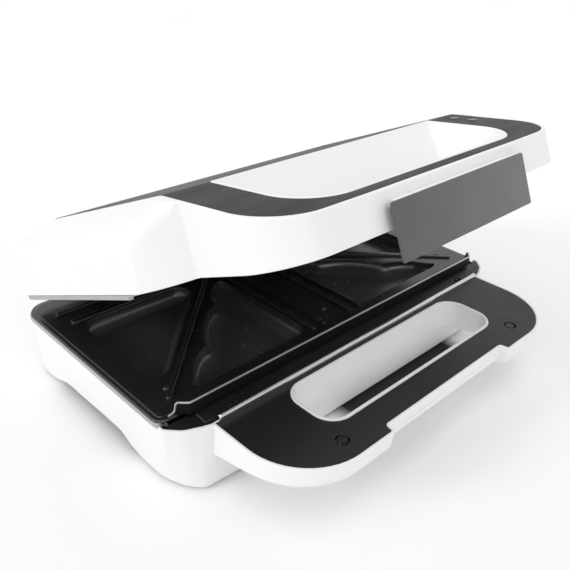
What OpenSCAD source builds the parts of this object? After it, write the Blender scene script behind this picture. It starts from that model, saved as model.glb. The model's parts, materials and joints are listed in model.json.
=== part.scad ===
// Sandwich toaster for two square slices of bread, lid held half open.
// Lengths in millimetres, +Z up, feet on Z = 0. X runs across the width,
// -Y is the handle side. Sub-parts are drawn in closed-lid coordinates:
// y = 0 at the joint between body and handle, z = 0 at the handle deck.

/* [Body] */
// Outer width of the body at the deck
body_w = 270; // [266:1:274]
// Depth from the handle joint to the back wall
body_d = 153; // [151:1:155]
// Height of the lower casing, deck to skirt edge
base_h = 38; // [37:0.5:41]
// Wall thickness of the casings
wall = 2.6; // [2.4:0.1:2.8]
// Inward draft of the lower casing over its height
draft = 3.5; // [2.5:0.5:4]

/* [Handle] */
// Width of the handle
handle_w = 228.4; // [226:0.4:232]
// How far the handle stands out in front of the body
handle_d = 60; // [59:0.5:62]
// Half width of the hand opening
grip_hw = 73.5; // [68:0.5:74]
// Half width of the latch recess in the handle front
notch_hw = 53; // [50:0.5:56]

/* [Lid] */
// Opening angle at which the lid stands
lid_open = 24.25; // [0:0.25:70]
// Height of the lid's flat top above the deck
lid_top = 42; // [41:0.5:44]
// Height where the side wall turns into the chamfer
lid_wall_top = 30; // [29:0.5:31]
// Height of the top surface at the front of the lid handle
lid_front_top = 22.5; // [22:0.25:24]

/* [Cooking plates] */
// Depth of the pockets below the plate's land
pocket_d = 9.5; // [7:0.5:10]
// Height of the sealing ribs
rib_h = 1.4; // [1:0.1:1.6]
// Radius of the scallops along the diagonal
scallop_r = 13; // [12:0.5:14]

/* [Hardware] */
// Radius of the hinge pins
pin_r = 2.5; // [2:0.1:3]
// Radial play of the lid knuckles on the pins
play = 0.05; // [0.02:0.01:0.1]
// Height of the rubber feet below the skirt
foot_h = 2; // [1.5:0.25:3]

/* [Hidden] */
$fn = 48;
W = body_w / 2;
HX = handle_w / 2;
D = base_h + foot_h;          // deck above the table
hy = body_d + 13.5;           // hinge axis
hz = 13;
ear_r = 8;
ymid = (hy + ear_r - handle_d) / 2;
mate = 4.2;                   // lower edge of the lid casing when closed
land = 1.6;                   // land of the lower plate
mirror_z = 3.3;               // the upper plate mirrors the lower about this height
slope = (lid_top - lid_front_top) / 68.6;
crease = 12.6;
eps = 0.02;

// ---- outline tools -------------------------------------------------------
function unit(v) = v / norm(v);
function left(v) = [-v[1], v[0]];
function cross2(a, b) = a[0] * b[1] - a[1] * b[0];
// outline moved inwards by d (counter-clockwise points)
function inset(P, d) = [for (i = [0 : len(P) - 1])
  let (a = P[(i + len(P) - 1) % len(P)], b = P[i], c = P[(i + 1) % len(P)],
       u = left(unit(b - a)), v = left(unit(c - b)))
  b + d * (u + v) / (1 + u * v)];
// one rounded corner, n + 1 points
function corner(a, b, c, r, n) =
  let (u = unit(a - b), v = unit(c - b), k = sqrt((1 + u * v) / 2),
       s = sqrt((1 - u * v) / 2), t = r * k / s,
       m = b + unit(u + v) * r / s,
       p = b + u * t - m, q = b + v * t - m,
       w = acos(max(-1, min(1, (p * q) / (r * r)))),
       g = cross2(p, q) > 0 ? 1 : -1)
  [for (i = [0 : n]) let (f = g * w * i / n)
    m + [p[0] * cos(f) - p[1] * sin(f), p[0] * sin(f) + p[1] * cos(f)]];
function rounded(P, R, n = 6) = [for (i = [0 : len(P) - 1])
  let (a = P[(i + len(P) - 1) % len(P)], b = P[i], c = P[(i + 1) % len(P)])
  for (q = corner(a, b, c, max(0.2, R[i]), n)) q];
function at_z(P, z) = [for (p = P) [p[0], p[1], z]];
// m > 0: both outlines mirror about x = 0, with m points to a corner
module loft(A, B, m = 0) {
  n = len(A);
  h = n / 2 - 2;
  polyhedron(points = concat(A, B), faces = concat(
    m > 0 ? [for (k = [0 : h]) let (r = m + k, l = m - 1 - k + n)
      [l % n, r % n, (r + 1) % n, (l - 1) % n]] : [[for (i = [0 : n - 1]) i]],
    m > 0 ? [for (k = [0 : h]) let (r = m + k, l = m - 1 - k + n)
      [n + (l - 1) % n, n + (r + 1) % n, n + r % n, n + l % n]] : [[for (i = [n - 1 : -1 : 0]) n + i]],
    [for (i = [0 : n - 1]) [i, n + i, (i + 1) % n]],
    [for (i = [0 : n - 1]) [(i + 1) % n, n + i, n + (i + 1) % n]]));
}
// slab extruded along X from a profile in Y, Z
module along_x(x0, x1, P) {
  translate([x0, 0, 0]) rotate([90, 0, 90]) linear_extrude(x1 - x0) polygon(P);
}
// slab extruded along Y from a profile in X, Z
module along_y(y0, y1, P) {
  translate([0, y1, 0]) rotate([90, 0, 0]) linear_extrude(y1 - y0) polygon(P);
}
module rod_x(x0, x1, r, y, z) { translate([x0, y, z]) rotate([0, 90, 0]) cylinder(r = r, h = x1 - x0); }
module both() { children(); mirror([1, 0, 0]) children(); }
// round wire through a list of points
function wire_ring(P, i, r, n) =
  let (t = unit(P[min(len(P) - 1, i + 1)] - P[max(0, i - 1)]),
       u = unit(cross(t, [1, 0, 0.2])), v = cross(t, u))
  [for (k = [0 : n - 1]) P[i] + r * (u * cos(360 * k / n) + v * sin(360 * k / n))];
module wire(P, r, n = 8) {
  m = len(P) - 1;
  polyhedron(points = [for (i = [0 : m]) for (q = wire_ring(P, i, r, n)) q],
    faces = concat([[for (k = [0 : n - 1]) k]], [[for (k = [n - 1 : -1 : 0]) m * n + k]],
      [for (i = [0 : m - 1]) for (k = [0 : n - 1]) [i * n + k, (i + 1) * n + k, i * n + (k + 1) % n]],
      [for (i = [0 : m - 1]) for (k = [0 : n - 1]) [i * n + (k + 1) % n, (i + 1) * n + k, (i + 1) * n + (k + 1) % n]]));
}
module place_base() { translate([0, -ymid, D]) children(); }
module place_lid() {
  translate([0, hy - ymid, hz + D]) rotate([-lid_open, 0, 0]) translate([0, -hy, -hz]) children();
}

// ---- outlines ------------------------------------------------------------
P_base = [[-HX, -handle_d], [HX, -handle_d], [HX, -1], [W, 13], [W, body_d],
  [-W, body_d], [-W, 13], [-HX, -1]];
R_base = [37, 37, 8, 8, 13, 13, 8, 8];
function base_out(d) = rounded(inset(P_base, d),
  [for (i = [0 : 7]) (i == 2 || i == 7) ? R_base[i] + d : R_base[i] - d]);
LHX = HX - 2.6;
LF = handle_d - 2.5;
P_lid = [[-LHX, -LF], [LHX, -LF], [LHX, -1], [W, 13], [W, body_d],
  [-W, body_d], [-W, 13], [-LHX, -1]];
function lid_out(d) = rounded(inset(P_lid, d),
  [for (i = [0 : 7]) (i == 2 || i == 7) ? R_base[i] + d : (i < 2 ? 32 : R_base[i]) - d]);
// hand opening at deck level
P_grip = [[-grip_hw, -38.8], [grip_hw, -38.8], [grip_hw, -3], [-grip_hw, -3]];
function grip(d) = rounded(inset(P_grip, d), [for (i = [0 : 3]) 13 - d], 6);
// hand opening in the lid's sloping top
P_gtop = [[-84, -49.7], [84, -49.7], [86, 12.4], [-86, 12.4]];
function grip_top(d) = rounded(inset(P_gtop, d), [25 - d, 25 - d, 2.6 - d, 2.6 - d], 6);
// dark top panel
P_inlay = [[-106.4, 2.3 - LF], [106.4, 2.3 - LF], [111.5, crease], [112, 129.5], [-112, 129.5], [-111.5, crease]];
function inlay(d) = rounded(inset(P_inlay, d), [27 - d, 27 - d, 40 + d, 3 - d, 3 - d, 40 + d], 6);
P_plate = [[-(W - 2.6), 14.2], [W - 2.6, 14.2], [W - 2.6, body_d - 2.4], [-(W - 2.6), body_d - 2.4]];
function plate(d) = rounded(inset(P_plate, d), [14 - d, 14 - d, 11 - d, 11 - d], 6);
// cooking pockets of the left square: A towards the back, B towards the front
P_a = [[-117, 36], [-36, 115.5], [-117, 115.5]];
P_b = [[-103, 26.5], [-23.5, 26.5], [-23.5, 104.5]];
function pocket(P, d, r) = rounded(inset(P, d), [r, r, r], 3);

// ---- lower casing --------------------------------------------------------
under = [[-80, 5], [-80, -12.5], [-30, -14], [-1.4, -19.5], [-1.4, -60], [200, -60], [200, 5]];
inside_handle = [[-80, 5], [-80, -10.1], [-30, -11.6], [-4, -16.6], [-4, 5]];
module base_body(d) { loft(at_z(base_out(draft + d), -base_h - (d > 0 ? 5 : 0)), at_z(base_out(d), d > 0 ? 1 : 0), 7); }
module notch(d, z0, z1) {
  y = -handle_d - 5;
  translate([0, 0, z0]) linear_extrude(z1 - z0)
    polygon([[-notch_hw - 1 - d, y], [notch_hw + 1 + d, y], [notch_hw + 0.8 + d, 1.5 - handle_d],
      [notch_hw - 0.5 + d, 5 + d - handle_d], [-notch_hw + 0.5 - d, 5 + d - handle_d], [-notch_hw - 0.8 - d, 1.5 - handle_d]]);
}
module ear(x0, x1) {
  difference() {
    union() {
      rod_x(x0, x1, ear_r, hy, hz);
      along_x(x0, x1, [[body_d - 1.6, -4], [body_d + 0.4, -3], [hy - 7.2, hz - 3.4], [hy + 7.2, hz - 3.4], [body_d + 4.5, -30], [body_d - 2.2, -30]]);
    }
    rod_x(x0 - 1, x1 + 1, pin_r + 0.01, hy, hz);
  }
}
module base_shell() color([0.93, 0.93, 0.93]) place_base() {
  difference() {
    union() {
      difference() {
        intersection() { base_body(0); along_x(-200, 200, under); }
        intersection() { base_body(wall); translate([-200, 1.4, -80]) cube([400, 300, 100]); }
        difference() {
          intersection() { base_body(wall); along_x(-200, 200, inside_handle); notch_keep(); }
          translate([0, 0, -30]) linear_extrude(40) polygon(grip(0.1));
          both() translate([75.6, -46.9, -30]) cylinder(r = 4, h = 40);
        }
        // ledge for the deck
        translate([0, 0, -2]) linear_extrude(6) intersection() {
          polygon(base_out(1.4));
          translate([-200, -200]) square([400, 215.5]);
        }
        // lower edge under the trim ring
        translate([-200, 15.5, -2.6]) cube([400, 300, 10]);
      }
      // rim around the hand opening
      intersection() {
        translate([0, 0, -20]) linear_extrude(20.5) polygon(grip(0.1));
        along_x(-200, 200, [[-80, 5], [-80, -12.5], [-30, -14], [-1.4, -19.5], [0, -19.5], [0, 5]]);
      }
      // foot pods
      intersection() {
        base_body(0.4);
        union() {
          both() translate([92, 0.4, -base_h]) cube([60, 43, 3.2]);
          both() translate([104, 121, -base_h]) cube([60, 40, 3.2]);
        }
      }
      // bosses for the bottom cover, each with a web to the wall
      both() for (y = [62, 100]) {
        translate([W - 9.4, y, -27.4]) cylinder(r = 4.2, h = 16);
        translate([W - 9.4, y - 2, -27.4]) cube([6.3, 4, 16]);
      }
      // catch behind the latch recess
      both() translate([11, 4.6 - handle_d, -7.9]) cube([26, 1.6, 1.7]);
      both() { ear(68, 77.5); ear(88, 97.5); }
    }
    translate([0, 0, -40]) linear_extrude(60) polygon(grip(1.9));
    notch(0, -40, 10);
    // arches between the feet
    along_x(-200, 200, [[44, -60], [46, -base_h], [54, -base_h + 8.2], [108, -base_h + 7.6], [118, -base_h], [120, -60]]);
    both() translate([75.6, -46.9, -8]) cylinder(r = 1.3, h = 20);
    both() for (y = [62, 100]) translate([W - 9.4, y, -28]) cylinder(r = 1.3, h = 14);
    both() { for (p = foot_at) translate([p[0], p[1], -base_h - 1]) cylinder(r = 8.2, h = 2); }
    // cord inlet
    translate([45, body_d - 8, -16]) rotate([-90, 0, 0]) cylinder(r = 6, h = 20);
  }
}
module notch_keep() {
  difference() {
    translate([-200, -200, -60]) cube([400, 500, 100]);
    notch(wall, -60, 20);
  }
}
foot_at = [[110, 22], [117, 135]];
module rubber_feet() color([0.12, 0.12, 0.12]) place_base()
  both() for (p = foot_at) translate([p[0], p[1], -base_h - foot_h]) cylinder(r = 8, h = foot_h + 1);
module bottom_cover() color([0.1, 0.1, 0.1]) place_base() difference() {
  intersection() {
    base_body(wall + 0.4);
    translate([-200, 1.8, -29.6]) cube([400, 300, 2]);
  }
  both() for (y = [62, 100]) translate([W - 9.4, y, -31]) cylinder(r = 1.8, h = 6);
  for (x = [-60 : 12 : 60]) translate([x - 2, 40, -31]) cube([4, 26, 6]);
}
module cover_screws() color([0.6, 0.6, 0.62]) place_base()
  both() for (y = [62, 100]) translate([W - 9.4, y, 0]) {
    translate([0, 0, -31.2]) cylinder(r = 2.6, h = 1.6);
    translate([0, 0, -30]) cylinder(r = 1.24, h = 12);
  }
module base_deck() color([0.1, 0.1, 0.1]) place_base() difference() {
  union() {
    translate([0, 0, -2]) linear_extrude(2) intersection() {
      polygon(base_out(1.6));
      translate([-200, -200]) square([400, 213.9]);
    }
    intersection() {
      along_x(-200, 200, [[2.6, -1], [2.6, 1], [8.5, 1.6], [13.6, 1.6], [13.6, -1]]);
      translate([0, 0, -2]) linear_extrude(10) polygon(base_out(5));
    }
  }
  translate([0, 0, -10]) linear_extrude(30) polygon(grip(-0.1));
  notch(1.4, -10, 10);
  both() translate([75.6, -46.9, -5]) cylinder(r = 1.7, h = 10);
  both() translate([75.6, -46.9, -1.3]) cylinder(r1 = 1.7, r2 = 3.4, h = 1.4);
  both() translate([91, 2, 0.2]) cube([5, 2.2, 1.4]);
  // opening below the cooking plate
  translate([-119, 13.6, -5]) cube([238, 10, 10]);
}
module deck_screws() color([0.3, 0.3, 0.32]) place_base() both() translate([75.6, -46.9, 0]) {
  translate([0, 0, -1.45]) cylinder(r1 = 1.5, r2 = 2.6, h = 1.1);
  translate([0, 0, -7.8]) cylinder(r = 1.24, h = 6.4);
}
module front_trim_strip() color([0.8, 0.8, 0.8]) place_base() {
  rod_x(-110, 110, 1.6, 0.2, 2.4);
  both() translate([110, 0.2, 2.4]) sphere(r = 1.6);
  translate([-109, -0.8, 0.02]) cube([218, 2, 2]);
}

// ---- trim rings ----------------------------------------------------------
function ring_out(d, r) = rounded(inset([[-W, 11], [W, 11], [W, body_d], [-W, body_d]], d),
  [r - d, r - d, 13 - d, 13 - d], 6);
module ring_bar(z0, z1, d0, d1, r = 16) {
  translate([0, 0, z0]) linear_extrude(z1 - z0) difference() {
    polygon(ring_out(d0, r));
    polygon(ring_out(d1, r));
    translate([-200, -50]) square([400, 67]);
  }
}
module lower_trim_ring() color([0.75, 0.75, 0.75]) place_base() {
  ring_bar(-2.58, -0.2, 0.2, 2.3);
  ring_bar(-1.4, -0.2, 2.2, 6);
}
module upper_trim_ring() color([0.75, 0.75, 0.75]) place_lid() {
  ring_bar(1.5, 4.18, 0.3, 1.9, 7);
  ring_bar(3.6, 4.18, 1.8, 6, 7);
  ring_bar(4.1, 4.98, 2.9, 6, 7);
}

// ---- cooking plates ------------------------------------------------------
floor_z = land - pocket_d;
module pocket_cut(P, r) {
  loft(at_z(pocket(P, 9, r), floor_z), at_z(pocket(P, -0.4, r), land + 0.4));
}
module pocket_tub(P, r) {
  loft(at_z(pocket(P, 6.2, r), floor_z - 2.2), at_z(pocket(P, -2.2, r), land - 1));
}
module scallops(r, z0, h) {
  for (i = [0 : 3]) translate([-87 + 17.2 * i, 39 + 17 * i, z0]) cylinder(r = r, h = h);
}
// ribs and bumps of one half
module ribs(z, h) {
  for (x = [-19.9, -11.2]) translate([x - 1, 24, z]) cube([2, (x < -15 ? 95 : 109), h]);
  translate([-121, 116.7, z]) cube([102.1, 2, h]);
  translate([-124, 131.4, z]) cube([113.8, 2, h]);
  translate([-119.6, 27.8, z]) rotate([0, 0, 43.8]) translate([0, -1.1, 0]) cube([131, 2.2, h]);
  translate([-114.5, 30, z]) cylinder(r = 1.6, h = h);
}
module plate_half(e = 0) {
  difference() {
    union() {
      translate([0, 0, land - 1.8]) linear_extrude(1.8) intersection() {
        polygon(plate(e)); translate([-200, 0]) square([200.01, 300]); }
      translate([0, 0, land - 3.2]) linear_extrude(1.6) intersection() {
        polygon(plate(3.9)); translate([-200, 0]) square([200.01, 300]); }
      pocket_tub(P_a, 7);
      pocket_tub(P_b, 7);
      scallops(scallop_r + 1.8, land - 7, 6);
      ribs(land - 0.1, rib_h + 0.1);
    }
    pocket_cut(P_a, 5);
    pocket_cut(P_b, 5);
    scallops(scallop_r, land - 5, 8);
  }
}
module lower_plate() color([0.13, 0.13, 0.13]) place_base() difference() {
  union() {
    both() plate_half();
    // rolled outer edge over the trim ring
    translate([0, 0, land - 1.78]) linear_extrude(1.3) difference() {
      polygon(plate(-1.7));
      polygon(plate(3));
      translate([-200, -50]) square([400, 66.9]);
    }
    translate([0, 36.5, land - 0.1]) cylinder(r = 1.8, h = rib_h + 0.1);
    // front lip
    along_x(-118.7, 118.7, [[10.9, 2.1], [10.9, 9.1], [12.4, 9.1], [17.5, land], [17.5, 0.2], [13.8, 0.2], [13.8, 2.1]]);
  }
  for (x = [-60, 60]) for (y = [21.5, 125]) translate([x, y, -6]) cylinder(r = 1.2, h = 6.6);
}
module lower_plate_screws() color([0.6, 0.6, 0.62]) place_base()
  for (x = [-60, 60]) for (y = [125]) {
    translate([x, y, -22.6]) cylinder(r = 3, h = 1.5);
    translate([x, y, -21.2]) cylinder(r = 1.18, h = 21.2);
  }
module upper_plate() color([0.13, 0.13, 0.13]) place_lid() translate([0, 0, 2 * mirror_z]) mirror([0, 0, 1]) difference() {
  both() plate_half(0.5);
  translate([-200, 0, -30]) cube([400, 16.6, 60]);
  for (x = [-60, 60]) translate([x, 125, -6]) cylinder(r = 1.2, h = 6.6);
}
module upper_plate_screws() color([0.6, 0.6, 0.62]) place_lid() translate([0, 0, 2 * mirror_z]) mirror([0, 0, 1])
  for (x = [-60, 60]) {
    translate([x, 125, -22.6]) cylinder(r = 3, h = 1.5);
    translate([x, 125, -21.2]) cylinder(r = 1.18, h = 21.2);
  }

// ---- heating -------------------------------------------------------------
module element() {
  z = floor_z - 2.6 - 3.2;
  rod_x(-80, 92, 3.2, 50, z);
  rod_x(-80, 92, 3.2, 106, z);
  translate([-80, 78, z]) rotate([0, 0, 90]) rotate_extrude(angle = 180) translate([28, 0]) circle(r = 3.2);
  rod_x(91, 104, 1.4, 50, z);
  rod_x(91, 104, 1.4, 106, z);
}
module tray() {
  difference() {
    translate([-120.9, 22, -21]) cube([241.8, 118, 19.2]);
    translate([-120.1, 22.8, -20.2]) cube([240.2, 116.4, 30]);
    for (x = [-60, 60]) translate([x, 125, -30]) cylinder(r = 1.6, h = 20);
    translate([20, 78, -30]) cylinder(r = 3.4, h = 20);
    translate([98, 78, -30]) cylinder(r = 3.4, h = 20);
  }
}
module lower_heating_element() color([0.35, 0.35, 0.36]) place_base() element();
module lower_reflector() color([0.75, 0.75, 0.77]) place_base() tray();
module upper_heating_element() color([0.35, 0.35, 0.36]) place_lid() translate([0, 0, 2 * mirror_z]) mirror([0, 0, 1]) element();
module upper_reflector() color([0.75, 0.75, 0.77]) place_lid() translate([0, 0, 2 * mirror_z]) mirror([0, 0, 1]) tray();
module thermostat() color([0.85, 0.82, 0.75]) place_base() {
  translate([0, 78, -20.18]) cylinder(r = 8, h = 6);
  translate([0, 78, -14.2]) cylinder(r = 6.4, h = 2.4);
  both() translate([7.4, 76.8, -17.4]) cube([8, 2.4, 0.8]);
}
module thermal_fuse() color([0.7, 0.6, 0.4]) place_base() {
  rod_x(-8, 8, 2, 94, -18.1);
  rod_x(-16, 16, 0.6, 94, -18.1);
}
module terminal_block() color([0.9, 0.9, 0.86]) place_base() difference() {
  translate([32, 122, -27.5]) cube([22, 12, 6]);
  for (x = [36, 43, 50]) translate([x, 110, -24.5]) rotate([-90, 0, 0]) cylinder(r = 1.5, h = 40);
}
module base_wiring() color([0.5, 0.1, 0.1]) place_base() {
  wire([[36, 123, -24.5], [36, 114, -24.5], [20, 84, -24.5], [20, 79, -23.5], [20, 78, -17]], 1.2);
  wire([[50, 123, -24.5], [50, 114, -24.5], [98, 90, -24.5], [98, 79, -23.5], [98, 78, -17]], 1.2);
  wire([[36, 133, -24.5], [36, 138, -24.4], [40, 142.6, -20.5], [43.2, 144.4, -17]], 1.2);
  wire([[50, 133, -24.5], [50, 138, -24.4], [49, 142.6, -20.5], [46.8, 144.4, -17]], 1.2);
}
module cord_gland() color([0.08, 0.08, 0.08]) place_base() translate([45, body_d - 6.6, -16]) rotate([-90, 0, 0])
  rotate_extrude() polygon([[3.4, 0], [8.5, 0], [8.5, 1.5], [5.8, 1.5], [5.8, 7.4], [8.2, 7.4], [6.2, 11], [3.4, 11]]);
module hinge_pins() color([0.7, 0.7, 0.72]) place_base() both() {
  rod_x(66, 98.5, pin_r, hy, hz);
  rod_x(98.4, 100, pin_r + 1.4, hy, hz);
}

// ---- lid casing ----------------------------------------------------------
function top_prof(d) = [[-90, mate - 20], [-90, lid_top - slope * (90 + crease) - d], [crease, lid_top - d],
  [131, lid_top - d], [body_d + 8, lid_wall_top - 4.2 - d], [body_d + 8, mate - 20]];
function cap_prof(d) = [[-W - 9, mate - 20], [-W - 9, lid_wall_top - 4.8 - d], [-112, lid_top - d],
  [112, lid_top - d], [W + 9, lid_wall_top - 4.8 - d], [W + 9, mate - 20]];
module lid_solid(d, z0) {
  intersection() {
    loft(at_z(lid_out(d), z0), at_z(lid_out(1.8 + d), lid_top + 1), 7);
    along_x(-200, 200, top_prof(d));
    along_y(-100, 200, cap_prof(d));
  }
}
function on_slope(P, k) = [for (p = P) [p[0], p[1], lid_top - slope * (crease - p[1]) + k]];
module funnel(d) { loft(at_z(grip(d), mate - 2), on_slope(grip_top(d), 3)); }
module above(z) { translate([-200, -200, z]) cube([400, 400, 90]); }
// the layer of the dark panel under the top surface
module inlay_layer(d, t, up) {
  intersection() {
    translate([0, 0, 0]) linear_extrude(60) polygon(inlay(d));
    difference() { along_x(-200, 200, top_prof(-up)); along_x(-201, 201, top_prof(t)); }
  }
}
module knuckle(x0, x1) {
  difference() {
    union() {
      rod_x(x0, x1, 7.4, hy, hz);
      along_x(x0, x1, [[body_d - 3, 8.5], [hy - 2, hz - 7.1], [hy + 2, hz + 7.1], [body_d - 3, 25]]);
    }
    rod_x(x0 - 1, x1 + 1, pin_r + play, hy, hz);
  }
}
module lid_shell() color([0.94, 0.94, 0.94]) place_lid() {
  difference() {
    union() {
      difference() {
        lid_solid(0, mate);
        lid_solid(wall, mate - 1);
      }
      // skin around the hand opening
      intersection() { lid_solid(0.5, mate); funnel(-3.6); above(7.6); }
      intersection() {
        lid_solid(0.5, mate);
        both() translate([98, -20, 7.2]) cylinder(r = 4.2, h = 60);
      }
      both() knuckle(78, 87.5);
      // lugs for the latch
      both() latch_lug();
    }
    funnel(-1.8);
    inlay_layer(-0.15, 1.3, 3);
    both() translate([98, -20, 6]) cylinder(r = 1.3, h = 12);
    translate([99, 3, 20]) cylinder(r = 3, h = 40);
    translate([99, -9, 20]) cylinder(r = 3, h = 40);
    both() latch_bore();
  }
}
latch_y = -LF - 2.7;
latch_z = 15.1;
module latch_lug() {
  translate([36, latch_y, latch_z]) {
    rotate([0, 90, 0]) cylinder(r = 1.7, h = 6);
    translate([0, 0, -1.3]) cube([6, 4.6, 2.6]);
  }
}
module latch_bore() { rod_x(34, 44, 0.92, latch_y, latch_z); }
module lid_inlay() color([0.28, 0.28, 0.28]) place_lid() difference() {
  inlay_layer(0, 1.2, 0);
  funnel(-1.9);
  translate([99, 3, 20]) cylinder(r = 2.7, h = 40);
  translate([99, -9, 20]) cylinder(r = 2.7, h = 40);
}
module lid_handle_liner() color([0.95, 0.95, 0.95]) place_lid() difference() {
  intersection() {
    funnel(-1.6);
    above(mate + 0.3);
    along_x(-200, 200, top_prof(-0.2));
  }
  funnel(0);
}
module lid_deck() color([0.1, 0.1, 0.1]) place_lid() difference() {
  translate([0, 0, 4.9]) linear_extrude(2) intersection() {
    polygon(lid_out(wall + 0.3));
    translate([-200, -200]) square([400, 208.2]);
  }
  translate([0, 0, 0]) linear_extrude(20) polygon(grip(-4.4));
  both() translate([98, -20, 0]) cylinder(r = 1.7, h = 10);
}
module lid_deck_screws() color([0.3, 0.3, 0.32]) place_lid() both() translate([98, -20, 0]) {
  translate([0, 0, 4.4]) cylinder(r = 2.8, h = 0.48);
  translate([0, 0, 4.8]) cylinder(r = 1.24, h = 10);
}
module lens(y) {
  intersection() {
    translate([99, y, 30]) cylinder(r = 2.6, h = 20);
    along_x(-200, 200, top_prof(-0.4));
  }
}
module power_lens() color([0.5, 0.5, 0.5]) place_lid() lens(3);
module ready_lens() color([0.5, 0.5, 0.5]) place_lid() lens(-9);
module lamp_board() color([0.35, 0.3, 0.2]) place_lid() translate([92.5, -15, 22]) cube([13, 24, 1.6]);
module lamps() color([0.9, 0.6, 0.4]) place_lid()
  for (y = [3, -9]) translate([99, y, 23.62]) { cylinder(r = 2, h = 4); translate([0, 0, 4]) sphere(r = 2); }

// ---- latch ---------------------------------------------------------------
module latch_pin() color([0.7, 0.7, 0.72]) place_lid() rod_x(-52, 52, 0.9, latch_y, latch_z);
module latch_clip() color([0.4, 0.4, 0.4]) place_lid() difference() {
  union() {
    translate([-53.4, latch_y - 3, -10]) cube([106.8, 1.2, 27]);
    translate([-53.4, latch_y - 2, -10]) cube([106.8, 1, 20]);
    for (s = [[-53.4, 11.1], [-35.7, 71.4], [42.3, 11.1]])
      rod_x(s[0], s[0] + s[1], 2, latch_y, latch_z);
    both() translate([11.4, latch_y - 2, -10]) cube([25, 4, 1.5]);
  }
  rod_x(-60, 60, 0.97, latch_y, latch_z);
}

base_shell();
bottom_cover();
base_deck();
front_trim_strip();
lower_plate();
lower_trim_ring();
rubber_feet();
lower_heating_element();
lower_reflector();
lower_plate_screws();
thermostat();
thermal_fuse();
terminal_block();
base_wiring();
cord_gland();
deck_screws();
cover_screws();
hinge_pins();
lid_shell();
lid_inlay();
lid_handle_liner();
lid_deck();
upper_plate();
upper_trim_ring();
upper_heating_element();
upper_reflector();
upper_plate_screws();
power_lens();
ready_lens();
lamp_board();
lamps();
lid_deck_screws();
latch_pin();
latch_clip();
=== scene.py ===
import json
import math
import bmesh
import bpy
import numpy as np
from mathutils import Matrix, Vector
from mathutils.geometry import delaunay_2d_cdt


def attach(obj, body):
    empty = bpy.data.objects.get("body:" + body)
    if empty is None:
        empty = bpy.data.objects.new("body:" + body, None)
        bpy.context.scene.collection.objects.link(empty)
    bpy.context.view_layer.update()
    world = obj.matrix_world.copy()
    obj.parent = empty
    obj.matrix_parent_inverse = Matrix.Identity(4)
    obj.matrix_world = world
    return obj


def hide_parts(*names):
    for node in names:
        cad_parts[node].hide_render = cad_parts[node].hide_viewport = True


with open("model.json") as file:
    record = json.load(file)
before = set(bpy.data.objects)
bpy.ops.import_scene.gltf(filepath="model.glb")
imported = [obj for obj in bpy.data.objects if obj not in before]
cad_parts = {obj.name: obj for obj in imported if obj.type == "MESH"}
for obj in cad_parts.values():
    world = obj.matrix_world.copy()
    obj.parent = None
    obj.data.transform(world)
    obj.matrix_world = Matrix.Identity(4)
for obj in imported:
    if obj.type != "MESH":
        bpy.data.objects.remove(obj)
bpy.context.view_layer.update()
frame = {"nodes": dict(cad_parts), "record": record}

nodes = frame["nodes"]

# ------------------------------------------------------------------ camera
cam_data = bpy.data.cameras.new("camera")
cam = bpy.data.objects.new("camera", cam_data)
bpy.context.scene.collection.objects.link(cam)
cam_data.sensor_width = 36.0
cam_data.lens = 43.2
right = Vector((0.71789, -0.69484, 0.04279))
up = Vector((0.31351, 0.37756, 0.87130))
right.normalize()
up = (up - right * up.dot(right)).normalized()
back = right.cross(up)
rot = Matrix((right, up, back)).transposed().to_4x4()
cam.matrix_world = Matrix.Translation((-0.26935, -0.25273, 0.256)) @ rot
cam_data.clip_start, cam_data.clip_end = 0.01, 20.0
bpy.context.scene.camera = cam
bpy.context.scene.view_settings.view_transform = "Standard"


# --------------------------------------------------------------- materials
def new_mat(name):
    m = bpy.data.materials.new(name)
    m.use_nodes = True
    nt = m.node_tree
    b = nt.nodes["Principled BSDF"]
    return m, nt, b


def coords(nt, scale):
    t = nt.nodes.new("ShaderNodeTexCoord")
    mp = nt.nodes.new("ShaderNodeMapping")
    mp.inputs["Scale"].default_value = scale if hasattr(scale, "__len__") else (scale,) * 3
    nt.links.new(t.outputs["Object"], mp.inputs["Vector"])
    return mp.outputs["Vector"]


def noise(nt, vec, scale, detail=3.0, rough=0.55):
    n = nt.nodes.new("ShaderNodeTexNoise")
    n.inputs["Scale"].default_value = scale
    n.inputs["Detail"].default_value = detail
    n.inputs["Roughness"].default_value = rough
    nt.links.new(vec, n.inputs["Vector"])
    return n.outputs["Fac"]


def remap(nt, fac, a, b, lo, hi):
    r = nt.nodes.new("ShaderNodeMapRange")
    r.inputs["From Min"].default_value = a
    r.inputs["From Max"].default_value = b
    r.inputs["To Min"].default_value = lo
    r.inputs["To Max"].default_value = hi
    nt.links.new(fac, r.inputs["Value"])
    return r.outputs["Result"]


def mix(nt, fac, c0, c1):
    x = nt.nodes.new("ShaderNodeMix")
    x.data_type = "RGBA"
    x.inputs[6].default_value = (*c0, 1)
    x.inputs[7].default_value = (*c1, 1)
    nt.links.new(fac, x.inputs[0])
    return x.outputs[2]


def bump(nt, b, height, strength, dist):
    n = nt.nodes.new("ShaderNodeBump")
    n.inputs["Strength"].default_value = strength
    n.inputs["Distance"].default_value = dist
    nt.links.new(height, n.inputs["Height"])
    nt.links.new(n.outputs["Normal"], b.inputs["Normal"])


def grey(v):
    return (v, v, v)


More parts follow.
